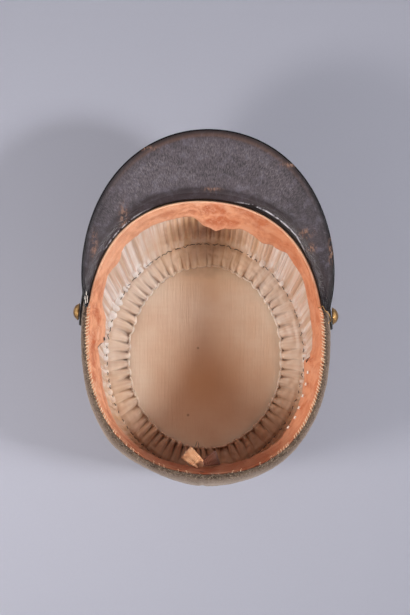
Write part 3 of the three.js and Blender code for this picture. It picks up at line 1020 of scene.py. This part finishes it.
def sweatband_point(angle, share, inward=0.0):
    """A point of the band's inner face, from the rim at 0 to its free edge at 1."""
    edge = around(SWEATBAND_EDGE, angle)
    front = smooth((math.cos(math.radians(angle)) - 0.2) / 0.5)
    height = lerp(SWEATBAND_HEIGHT, SWEATBAND_FRONT_HEIGHT, front)
    roll = min(0.0018, 0.0009 + 0.08 * edge)
    middle = lerp(roll, edge, 0.52)
    top = rim_height(angle) + 0.0004
    lap = lerp(0.0006, -0.0008, smooth((from_front(angle) - PEAK_CORNER_ANGLE + 4.0) / 6.0))
    inset_rows = ((0.0, lap), (0.02, roll * 0.5), (0.06, roll), (0.55, middle), (1.0, edge))
    drop_rows = ((0.0, 0.0009), (0.02, 0.0), (0.06, 0.0016), (0.55, height * 0.55), (1.0, height))
    x, y = on_outline(RIM, angle, -along(inset_rows, share) - inward)
    return Vector((x, y, top - along(drop_rows, share)))


def leather_sweatband(material):
    """The loose leather band, rolled over the rim, wavy towards its free edge."""
    columns = 900
    shares = [0, 0.01, 0.02, 0.035, 0.05, 0.07] + [0.1 + 0.9 * index / 26 for index in range(27)]
    points = []
    for angle in turns(columns):
        row = []
        for share in shares:
            loose = share * (1.0 - 0.2 * share)
            wave = BAND_WAVES * round_ripple(angle, 34, 2.0, share * 2.0)
            crease = BAND_CREASES * round_ripple(angle, 120, 8.0, share * 5.0)
            row.append(sweatband_point(angle, share, (wave + crease) * loose))
        points.append(row)
    girth = 2 * math.pi * BAND_RADIUS
    cloth = lambda r, c: (girth * r / columns, SWEATBAND_HEIGHT * shares[c], shares[c])
    piece = sheet("leather_sweatband", points, cloth, ring=True)
    thicken(piece, BAND_THICKNESS, 1.0)
    finish_piece(piece, material, ["sweatband"])


# Peak

PEAK_CREASE_FROM_RIM = 0.0085
PEAK_CREASE_DEPTH = 0.0006
PEAK_CREASE_HALF_WIDTH = 0.0009
PEAK_GROOVE_FROM_EDGE = 0.0052
PEAK_GROOVE_DEPTH = 0.0003
PEAK_GROOVE_HALF_WIDTH = 0.0006
PEAK_UNEVENNESS = 0.0006
PEAK_EDGE_ROUND = 0.0013
PEAK_ROOT_LENGTH = 0.26

# Distances from the rim, and from the outer edge, of the rows of points along the peak, in metres
PEAK_NEAR_ROWS = (0, 0.0006, 0.0013, 0.0022, 0.0032, 0.0045, 0.006, 0.0072, 0.0079, 0.0085, 0.0091, 0.0100)
PEAK_FAR_ROWS = (0.0068, 0.0060, 0.0052, 0.0044, 0.0032, 0.0022, 0.0013)

# Centre x and y of a scuff on the peak, and its half width and half length, in metres
PEAK_SCUFFS = (
    (-0.060, 0.102, 0.0024, 0.0075),
    (-0.0804, 0.081, 0.0020, 0.0080),
    (0.0705, 0.092, 0.0042, 0.0030),
    (0.0748, 0.0815, 0.0026, 0.0026),
    (0.0879, 0.0800, 0.0016, 0.0080),
    (0.0030, 0.1225, 0.0050, 0.0012),
    (-0.045, 0.150, 0.0080, 0.0012),
    (0.058, 0.140, 0.0060, 0.0012),
)


def peak_span(angle):
    """The peak's inner and outer point at an angle, seen from above, and its depth between them."""
    inner = on_outline(RIM, angle, CLEARANCE)
    outer = on_outline(PEAK, angle * PEAK_OUTLINE_CORNER_ANGLE / PEAK_CORNER_ANGLE)
    return inner, outer, math.dist(inner, outer)


def peak_point(angle, across, drop=0.0):
    """A point of the peak, from the rim at 0 to its outer edge at 1."""
    inner, outer, depth = peak_span(angle)
    deepest = PEAK[1] + PEAK[3] - RIM_CENTRE_Y - RIM_HALF_LENGTH
    bend = min(1.0, depth / 0.020) * PEAK_BEND_HEIGHT
    lift = bend * (1 - math.exp(-across * depth / PEAK_BEND_LENGTH))
    rise = PEAK_RISE * depth * across / deepest
    return Vector((
        lerp(inner[0], outer[0], across),
        lerp(inner[1], outer[1], across),
        rim_height(angle) + lift + rise - drop,
    ))


def peak_wear(point):
    """How rubbed the peak is at a point, 0 to 1."""
    scuffs = (bell(point.x - x, wide) * bell(point.y - y, long) for x, y, wide, long in PEAK_SCUFFS)
    return min(1.0, sum(scuffs))


def leather_peak(material):
    """The peak: a crease near the rim, a groove near the edge, a rounded edge and a plain underside."""
    columns = 520
    points, places = [], []
    for column in range(columns + 1):
        angle = lerp(-PEAK_CORNER_ANGLE, PEAK_CORNER_ANGLE, column / columns)
        depth = max(peak_span(angle)[2], 0.0001)
        shrink = min(1.0, depth / 0.024)
        near = [distance * shrink / depth for distance in PEAK_NEAR_ROWS]
        far = [1 - distance * shrink / depth for distance in PEAK_FAR_ROWS]
        upper = near + [lerp(near[-1], far[0], index / 12) for index in range(1, 12)] + far
        crease = PEAK_CREASE_DEPTH * smooth((42.0 - abs(angle)) / 14.0)
        row, marks = [], []
        for across in upper:
            distance = across * depth
            from_edge = depth - distance
            groove = crease * bell(distance - PEAK_CREASE_FROM_RIM, PEAK_CREASE_HALF_WIDTH)
            edge_groove = bell(from_edge - PEAK_GROOVE_FROM_EDGE, PEAK_GROOVE_HALF_WIDTH)
            groove += PEAK_GROOVE_DEPTH * shrink * edge_groove
            wave = PEAK_UNEVENNESS * ripple(angle * 0.05, across * 2.5, 1.0)
            wave *= math.sin(math.pi * min(across, 1))
            row.append(peak_point(angle, across, groove + wave))
            marks.append((distance, from_edge))
        for turn in (0.25, 0.5, 0.75):
            inward = PEAK_EDGE_ROUND * shrink * (1 - math.sin(math.pi * turn))
            row.append(peak_point(angle, 1 - inward / depth, PEAK_THICKNESS * turn))
            marks.append((depth, 0.0))
        for across in (0.98, 0.9, 0.7, 0.5, 0.3, 0.12, 0.04, 0.0):
            row.append(peak_point(angle, across, PEAK_THICKNESS))
            marks.append((0.02 + across * depth, 0.02 * (1 - across)))
        points.append(row)
        places.append(marks)
    cloth = lambda r, c: (PEAK_ROOT_LENGTH * r / columns, *places[r][c % len(places[r])])
    piece = sheet("leather_peak", points, cloth, loop=True, wear=peak_wear)
    close_ends(piece, len(points), len(points[0]))
    turn_outwards(piece)
    finish_piece(piece, material, ["peak"])


# Chin strap and buttons

# Share of half the strap's width, and share of its thickness, round its rounded section
STRAP_SECTION = (
    (-1.0, 0.25),
    (-0.86, 0.0),
    (0.0, 0.0),
    (0.86, 0.0),
    (1.0, 0.25),
    (1.0, 0.75),
    (0.86, 1.0),
    (0.0, 1.0),
    (-0.86, 1.0),
    (-1.0, 0.75),
)


STRAP_LENGTH = 0.26


def leather_strap(material):
    """The strap that lies on the wool in front, narrowing to a round end under each button."""
    columns = 240
    points = []
    for column in range(columns + 1):
        angle = lerp(-STRAP_END_ANGLE, STRAP_END_ANGLE, column / columns)
        past = (abs(angle) - STRAP_END_ROUND_ANGLE) / (STRAP_END_ANGLE - STRAP_END_ROUND_ANGLE)
        half = STRAP_WIDTH / 2 * math.sqrt(1 - 0.84 * min(max(past, 0.0), 1.0) ** 2)
        middle = rim_height(angle) - STRAP_BELOW_RIM
        points.append([
            wall_at_height(angle, middle + half * side, -CLEARANCE - STRAP_THICKNESS * depth)
            for side, depth in STRAP_SECTION
        ])
    cloth = lambda r, c: (STRAP_LENGTH * r / columns, 0.0, 0.0)
    piece = sheet("leather_strap", points, cloth, loop=True)
    close_ends(piece, len(points), len(points[0]))
    turn_outwards(piece)
    finish_piece(piece, material, ["chin_strap"])


BUTTON_GAP = 0.00015

# Radius share and height of a button's face, from its back to the middle of its dome
BUTTON_PROFILE = (
    (0.0, 0.0),
    (0.86, 0.0),
    (0.96, 0.0002),
    (1.0, 0.0006),
    (0.985, 0.0010),
    (0.93, 0.0012),
    (0.90, 0.00125),
    (0.86, 0.0017),
    (0.76, 0.0026),
    (0.60, 0.0034),
    (0.40, 0.0040),
    (0.20, 0.0043),
    (0.06, 0.0044),
)


def brass_button(name, node, angle, material):
    """A domed button with a low rim, square to the wall, on top of the strap's end."""
    middle = rim_height(angle) - STRAP_BELOW_RIM
    reach = 2 * CLEARANCE + STRAP_THICKNESS + BUTTON_GAP
    foot = wall_at_height(angle, middle, -reach)
    above = wall_at_height(angle, middle + 0.004, -reach)
    beside = wall_at_height(angle + 2, middle, -reach)
    axis = (above - foot).cross(beside - foot).normalized()
    axis = axis if axis.x * foot.x > 0 else -axis
    side = axis.orthogonal().normalized()
    up = axis.cross(side)
    points = []
    for turn in turns(48):
        spoke = side * math.cos(math.radians(turn)) + up * math.sin(math.radians(turn))
        points.append([foot + spoke * (BUTTON_RADIUS * share) + axis * z for share, z in BUTTON_PROFILE])
    piece = sheet(name, points, ring=True)
    close_dome(piece)
    turn_outwards(piece)
    finish_piece(piece, material, [node])


# Ribbon bow

RIBBON_THICKNESS = 0.00035
KNOT_RADIUS = 0.0024
KNOT_HALF_HEIGHT = 0.0026
LOOP_CLOTH_LENGTH = 0.030
KNOT_CLOTH = (0.012, 0.006)


def ribbon_loop(ribbon, out, neck, length, tilt, painted_shade):
    """One loop of the bow: out from the knot, round a fold and back underneath."""
    out = Vector(out).normalized()
    across = Vector((0, 0, 1)).cross(out).normalized()
    normal = (out.cross(across) + across * tilt).normalized()

    def point(share, beside):
        side = beside - 0.5
        swing = math.sin(math.pi * share)
        reach = length * (swing ** 0.6)
        width = lerp(neck, RIBBON_WIDTH, min(1.0, reach / length) ** 0.9)
        level = 0.0014 * math.cos(math.pi * share) * (0.35 + 0.65 * swing)
        pleat = 0.0005 * math.cos(side * 14) * (1 - swing)
        return RIBBON_KNOT + out * reach + across * (side * width) + normal * (level + pleat)

    lay_grid(ribbon, 36, 10, point, lambda s, c: (LOOP_CLOTH_LENGTH * s, RIBBON_WIDTH * c, painted_shade))


def knot_point(share, way_round):
    """A point of the knot, from its top at 0 to its foot at 1, with small pleats round it."""
    spin = 2 * math.pi * way_round
    radius = KNOT_RADIUS * math.sin(math.pi * share) * (1 + 0.06 * math.cos(9 * spin))
    height = KNOT_HALF_HEIGHT * math.cos(math.pi * share)
    return RIBBON_KNOT + Vector((radius * math.cos(spin) * 0.9, radius * math.sin(spin), height))


def bow(material):
    """Two loops of ribbon, the right one flat and in the shade, and the knot between them."""
    ribbon = ([], [], [])
    # The last number of each loop, and the knot's mark of 0.6, is how much shade is painted on it.
    ribbon_loop(ribbon, (-10.2, 8.4, 1.5), 0.0070, 0.0136, 0.25, 0.0)
    ribbon_loop(ribbon, (13.5, 4.8, -8.0), 0.0030, 0.0150, -0.1, 1.0)
    lay_grid(ribbon, 10, 20, knot_point, lambda s, c: (KNOT_CLOTH[0] * c, KNOT_CLOTH[1] * s, 0.6))
    piece = patterned_object("bow", *ribbon)
    thicken(piece, RIBBON_THICKNESS, 0.0)
    finish_piece(piece, material, ["ribbon_bow"])


# Stitches and loose ends

WHIP_PITCH = 1.35
WHIP_REACH_LEFT = 0.026
WHIP_REACH_RIGHT = 0.04
WHIP_REACH_BACK = 0.022
WHIP_THREAD = 0.00040
RUNNING_THREAD = 0.0008
CORNER_HIGHLIGHT_THREAD = 0.0003
SEAM_THREAD = 0.00026
GILT_WIRE = 0.00035
DRAWSTRING = 0.00016
FIBRE = 0.00014


def raised(point, height):
    return point + Vector((0, 0, height))


def whip_stitches(material):
    """Thread over the rim edge, from the sweatband's face to the wool, all round behind the peak."""
    first = PEAK_CORNER_ANGLE - 1.0
    count = int((FULL_TURN - 2 * first) / WHIP_PITCH)
    paths = []
    for index in range(count):
        angle = first + WHIP_PITCH * (index + 0.5 + 0.45 * ripple(index * 2.3))
        left = angle > 180.0
        lean = (0.5 + 0.5 * ripple(index * 5.1, 2.0)) * (-1 if left else 1)
        back = smooth((from_front(angle) - 97.0) / 50.0)
        beside = WHIP_REACH_LEFT if left else WHIP_REACH_RIGHT
        reach = lerp(beside, WHIP_REACH_BACK, smooth(3.0 * back))
        if ripple(index * 1.7, 5.0) < 1.15 * back - 1.0:
            continue
        sink = 0.0012 * back
        start = raised(sweatband_point(angle - lean, reach, 0.0002), -sink)
        top = raised(sweatband_point(angle, 0.02), 0.0007 - sink)
        over = raised(on_wall(angle + 0.5 * lean, 1.0, WALL_THICKNESS * 0.92), 0.0008 - sink)
        end = raised(on_wall(angle + lean, 1.0, WALL_THICKNESS * 0.76), 0.0004 - sink)
        paths.append([start, lerp(start, top, 0.6), top, over, end])
    threads("whip_stitches", paths, WHIP_THREAD, material)


# Angle, and the share of the sweatband's width, of each white stitch at the right of the back
RUNNING_STITCHES = (
    (106.5, 0.56),
    (111.9, 0.62),
    (117.3, 0.63),
    (122.8, 0.65),
    (127.4, 0.56),
    (132.8, 0.65),
)


def running_stitches(material):
    """White stitches that show on the face of the sweatband at the right of the back."""
    paths = []
    for angle, share in RUNNING_STITCHES:
        paths.append([sweatband_point(angle + step, share, 0.0020) for step in (-0.6, -0.2, 0.2, 0.6)])
    threads("running_stitches", paths, RUNNING_THREAD, material)


# Angle and share across the peak of each pale thread at its left corner, a painted highlight on the glossy
# black stitching there
CORNER_HIGHLIGHTS = ((-76.6, 0.25), (-76.9, 0.62), (-75.2, 0.30), (-75.6, 0.66), (-73.9, 0.45))


def corner_highlight_threads(material):
    """Short pale threads on the peak's left corner, painted highlights on the glossy black stitches that
    hold it down.
    """
    paths = []
    for angle, across in CORNER_HIGHLIGHTS:
        path = []
        for step in (-1.0, -0.4, 0.4, 1.0):
            path.append(raised(peak_point(angle + 0.6 * step, across), 0.0008 * (1 - step * step)))
        paths.append(path)
    threads("corner_highlight_threads", paths, CORNER_HIGHLIGHT_THREAD, material)


SEAM_STITCHES = 84
SEAM_INSET = WALL_THICKNESS + 2 * CLEARANCE + 0.0028
SEAM_ABOVE_FOOT = 0.0052
SEAM_ARCH = 0.0008
SEAM_WANDER = 0.0012


def seam_stitches(material):
    """Dark thread along the crown's corner, where the pleats and the ruffle are sewn down; at the front
    left the stitches run longer, a line of painted shadow under the pleats' edge.
    """
    paths = []
    for index in range(SEAM_STITCHES):
        angle = FULL_TURN * (index + 0.5 * ripple(index * 3.7)) / SEAM_STITCHES
        # Longer at the front left, where the dark thread stands in for painted shadow under the pleats'
        # edge.
        half = 0.8 + 0.4 * ripple(index * 9.1, 3.0) + 0.7 * smooth(math.cos(math.radians(angle + 25.0)))
        path = []
        for step in range(5):
            turn = lerp(-half, half, step / 4)
            arch = SEAM_ARCH * math.sin(math.pi * step / 4)
            inset = SEAM_INSET + SEAM_WANDER * ripple(index * 5.3, step * 0.4)
            x, y = on_outline(CROWN, angle + turn, -inset)
            path.append(Vector((x, y, LINING_FOOT + SEAM_ABOVE_FOOT + arch)))
        paths.append(path)
    threads("seam_stitches", paths, SEAM_THREAD, material)


# Points along the broken gilt wire at the peak's right corner, in metres
GILT_STRAND = (
    (0.0797, 0.0388, 0.0936),
    (0.0826, 0.0402, 0.0956),
    (0.0847, 0.0366, 0.0962),
    (0.0876, 0.0345, 0.0940),
    (0.0890, 0.0302, 0.0936),
    (0.0869, 0.0281, 0.0942),
)

# Points along the two cut ends of the ruffle's drawstring, in metres
DRAWSTRING_ENDS = (
    ((-0.0050, -0.0640, 0.0096), (-0.0056, -0.0662, 0.0120), (-0.0068, -0.0690, 0.0112)),
    ((-0.0042, -0.0642, 0.0096), (-0.0036, -0.0668, 0.0124), (-0.0044, -0.0700, 0.0110)),
)


def loose_ends(gilt, dark):
    """The gilt strand and the drawstring's ends."""
    strand = [Vector(point) for point in GILT_STRAND]
    threads("gilt_strand", [strand], GILT_WIRE, gilt)
    ends = [[Vector(point) for point in end] for end in DRAWSTRING_ENDS]
    threads("drawstring_ends", ends, DRAWSTRING, dark)


def edge_fibres(name, seed, count, spread, material):
    """Loose ends of thread and nap that stand along the wool's cut edge, thickest at the back."""
    chance = random.Random(seed)
    paths = []
    while len(paths) < count:
        angle = chance.uniform(PEAK_CORNER_ANGLE, FULL_TURN - PEAK_CORNER_ANGLE)
        if chance.random() > 0.35 + 0.65 * bell(from_front(angle) - 180.0, spread):
            continue
        inset = WALL_THICKNESS * chance.uniform(0.0, 0.9)
        foot = raised(on_wall(angle, 1.0, inset), 0.0004)
        lean = chance.uniform(-1.2, 1.2)
        far = on_wall(angle + lean, 1.0, inset + chance.uniform(-0.0016, 0.0016))
        far.z += chance.uniform(0.0002, 0.0012)
        middle = raised(lerp(foot, far, 0.5), chance.uniform(0.0002, 0.0007))
        paths.append([foot, middle, far])
    threads(name, paths, FIBRE, material, 4)


# Stage

PAPER = srgb(176, 176, 188)
PAPER_FIBRE = srgb(168, 168, 180)
FLOOR_REACH = 3.0
CAMERA_PLACE = (-0.0007, 0.0377, 1.3)
CAMERA_ROLL = 1.0
PHOTO_LONG_SIDE = 615
FOCAL_PIXELS = 1700
SENSOR = 36.0


def paper_floor():
    """A plain pale sheet of paper that the cap lies on."""
    far = FLOOR_REACH
    mesh = bpy.data.meshes.new("paper")
    mesh.from_pydata([(-far, -far, 0), (far, -far, 0), (far, far, 0), (-far, far, 0)], [], [(0, 1, 2, 3)])
    made = Surface("paper", Roughness=0.9)
    made.colour(made.tint(PAPER, PAPER_FIBRE, made.noise(made.place(), 700.0, 3.0, 0.6), 0.3, 0.7, 0.25))
    mesh.materials.append(made.material)
    new_object("paper", mesh)


# Each light's place, the side of its square, its power in watts, its colour and its beam in degrees
SOFT_BOXES = {
    "near_box": ((-0.528, -0.182, 0.55), 0.17, 1.04, (1.0, 0.97, 0.94), 110),
    "far_box": ((1.658, -0.165, 1.6), 0.38, 0.84, (0.97, 0.98, 1.0), 30),
}
LIGHT_TARGET = (0.0, 0.0, 0.05)
ROOM_COLOUR = (0.97, 0.97, 1.0, 1.0)
ROOM_HORIZON = 1.5
ROOM_OVERHEAD = 0.04


def area_light(name, place, size, watts, colour, beam):
    """A square light that looks at the cap."""
    data = bpy.data.lights.new(name, "AREA")
    data.shape = "SQUARE"
    data.size = size
    data.energy = watts
    data.color = colour
    data.spread = math.radians(beam)
    lamp = bpy.data.objects.new(name, data)
    lamp.location = place
    lamp.rotation_euler = (Vector(LIGHT_TARGET) - Vector(place)).to_track_quat("-Z", "Y").to_euler()
    bpy.context.scene.collection.objects.link(lamp)


def studio():
    """A soft box near the back left, one far off at the right, and a room lit from its sides."""
    for name, settings in SOFT_BOXES.items():
        area_light(name, *settings)
    world = bpy.data.worlds.new("room")
    world.use_nodes = True
    nodes, links = world.node_tree.nodes, world.node_tree.links
    background = nodes["Background"]
    background.inputs["Color"].default_value = ROOM_COLOUR
    direction = nodes.new("ShaderNodeTexCoord")
    split = nodes.new("ShaderNodeSeparateXYZ")
    fall = nodes.new("ShaderNodeMapRange")
    fall.inputs["To Min"].default_value = ROOM_HORIZON
    fall.inputs["To Max"].default_value = ROOM_OVERHEAD
    links.new(direction.outputs["Generated"], split.inputs["Vector"])
    links.new(split.outputs["Z"], fall.inputs["Value"])
    links.new(fall.outputs["Result"], background.inputs["Strength"])
    bpy.context.scene.world = world
    bpy.context.scene.view_settings.view_transform = "Standard"


def camera():
    """The camera that looks straight down, as the photograph's does."""
    data = bpy.data.cameras.new("camera")
    data.sensor_width = SENSOR
    data.lens = SENSOR * FOCAL_PIXELS / PHOTO_LONG_SIDE
    data.clip_end = 10.0
    view = bpy.data.objects.new("camera", data)
    view.location = CAMERA_PLACE
    view.rotation_euler = (0.0, 0.0, math.radians(CAMERA_ROLL))
    bpy.context.scene.collection.objects.link(view)
    bpy.context.scene.camera = view


def build():
    """The whole scene: the stage, then the cap from its crown to its stitches."""
    camera()
    studio()
    paper_floor()
    wool = wool_cloth()
    crown_cloth(wool)
    shell_cloth(wool)
    tip_silk(silk("flat_silk", srgb(250, 227, 202), srgb(236, 201, 170), 0.0, 0.0, 0.9))
    side_silk(silk("pleated_silk", srgb(253, 250, 247), srgb(238, 223, 209), 0.75, 0.7))
    ruffle_silk(silk("gathered_silk", srgb(255, 245, 233), srgb(243, 219, 193), 0.3, 0.5))
    leather_sweatband(band_leather())
    leather_peak(peak_leather())
    leather_strap(black_leather())
    brass = gilt_brass()
    brass_button("button_left", "side_button_left", -BUTTON_ANGLE, brass)
    brass_button("button_right", "side_button_right", BUTTON_ANGLE, brass)
    bow(ribbon_silk())
    whip_stitches(thread("cream_thread", srgb(246, 216, 184), srgb(222, 176, 136)))
    running_stitches(thread("knotted_thread", srgb(255, 248, 238), srgb(255, 236, 216)))
    corner_highlight_threads(thread("highlight_white_thread", srgb(250, 240, 230), srgb(214, 200, 190)))
    dark_thread = thread("dark_thread", srgb(58, 52, 50), srgb(30, 26, 24))
    seam_stitches(dark_thread)
    loose_ends(brass, dark_thread)
    edge_fibres("dark_fibres", 3, 450, 45.0, thread("dark_nap", srgb(86, 68, 54), srgb(50, 38, 30)))
    edge_fibres("pale_fibres", 4, 260, 35.0, thread("pale_nap", srgb(186, 164, 140), srgb(146, 124, 102)))


build()
